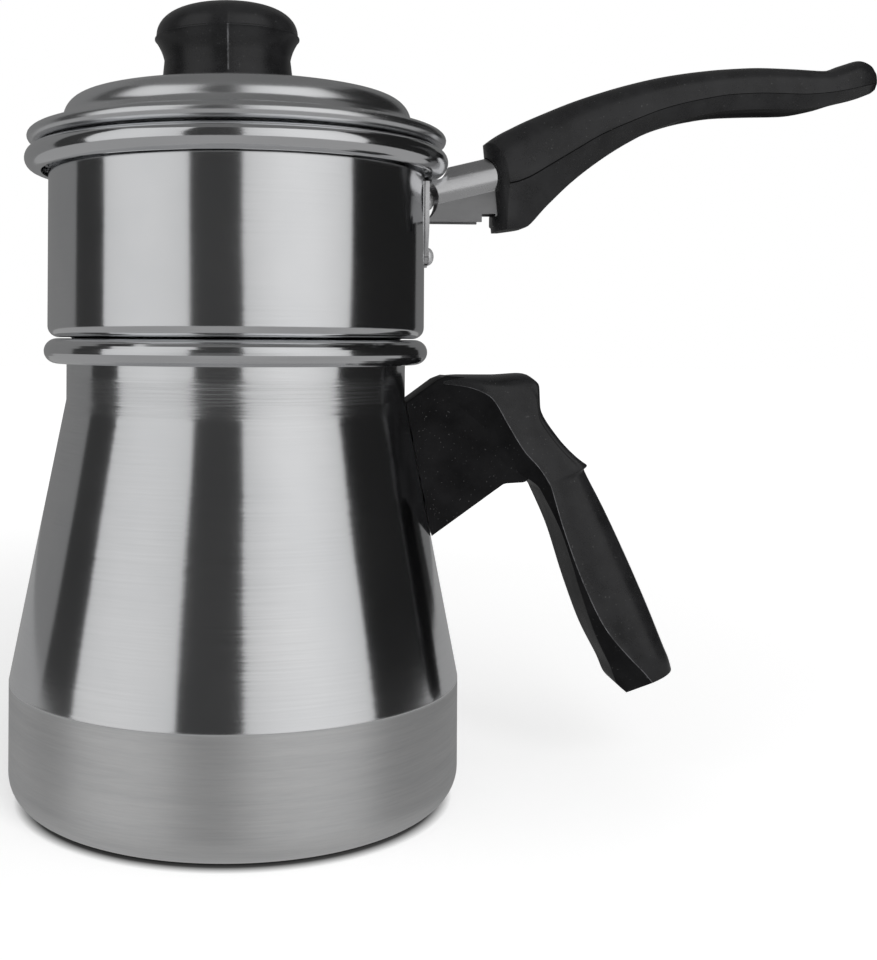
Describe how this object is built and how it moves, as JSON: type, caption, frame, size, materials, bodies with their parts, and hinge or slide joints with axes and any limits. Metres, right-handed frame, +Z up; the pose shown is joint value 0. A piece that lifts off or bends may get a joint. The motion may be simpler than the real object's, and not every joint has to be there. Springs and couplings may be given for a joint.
{
  "type": "couscous steamer",
  "caption": "Small flared aluminium boiler with a steamer pan standing in its mouth, a loose perforated plate, a domed lid with a knob, and black moulded handles.",
  "frame": {"origin": "centre of the boiler's flat base, on the axis of the boiler, pan and lid", "axes": "+Z up along that axis, +X towards both handles, +Y completing a right-handed frame"},
  "size_m": [0.2792, 0.1412, 0.2491],
  "materials": {
    "aluminium": "polished",
    "steel": "polished",
    "brass": "turned",
    "phenolic": "satin black"
  },
  "bodies": {
    "boiler": {"boiler_body": "aluminium", "boiler_handle": "phenolic", "boiler_handle_insert_upper": "brass", "boiler_handle_insert_lower": "brass", "boiler_handle_screw_upper": "steel", "boiler_handle_screw_lower": "steel", "boiler_handle_washer_upper": "steel", "boiler_handle_washer_lower": "steel"},
    "steamer": {"steamer_pan": "aluminium", "steamer_bracket": "steel", "steamer_rivet_upper": "steel", "steamer_rivet_lower": "steel", "steamer_handle": "phenolic", "steamer_handle_insert": "brass", "steamer_handle_screw": "steel"},
    "steam_plate": {"steam_plate": "aluminium"},
    "lid": {"lid": "aluminium", "lid_knob": "phenolic", "lid_knob_insert": "brass", "lid_knob_screw": "steel", "lid_knob_washer": "steel"}
  },
  "joints": [
    {"name": "steamer_lift", "type": "slide", "parent": "boiler", "child": "steamer", "axis": [0, 0, 1], "range_m": [0, 0.06]},
    {"name": "plate_lift", "type": "slide", "parent": "steamer", "child": "steam_plate", "axis": [0, 0, 1], "range_m": [0, 0.05]},
    {"name": "lid_lift", "type": "slide", "parent": "steamer", "child": "lid", "axis": [0, 0, 1], "range_m": [0, 0.06]}
  ]
}
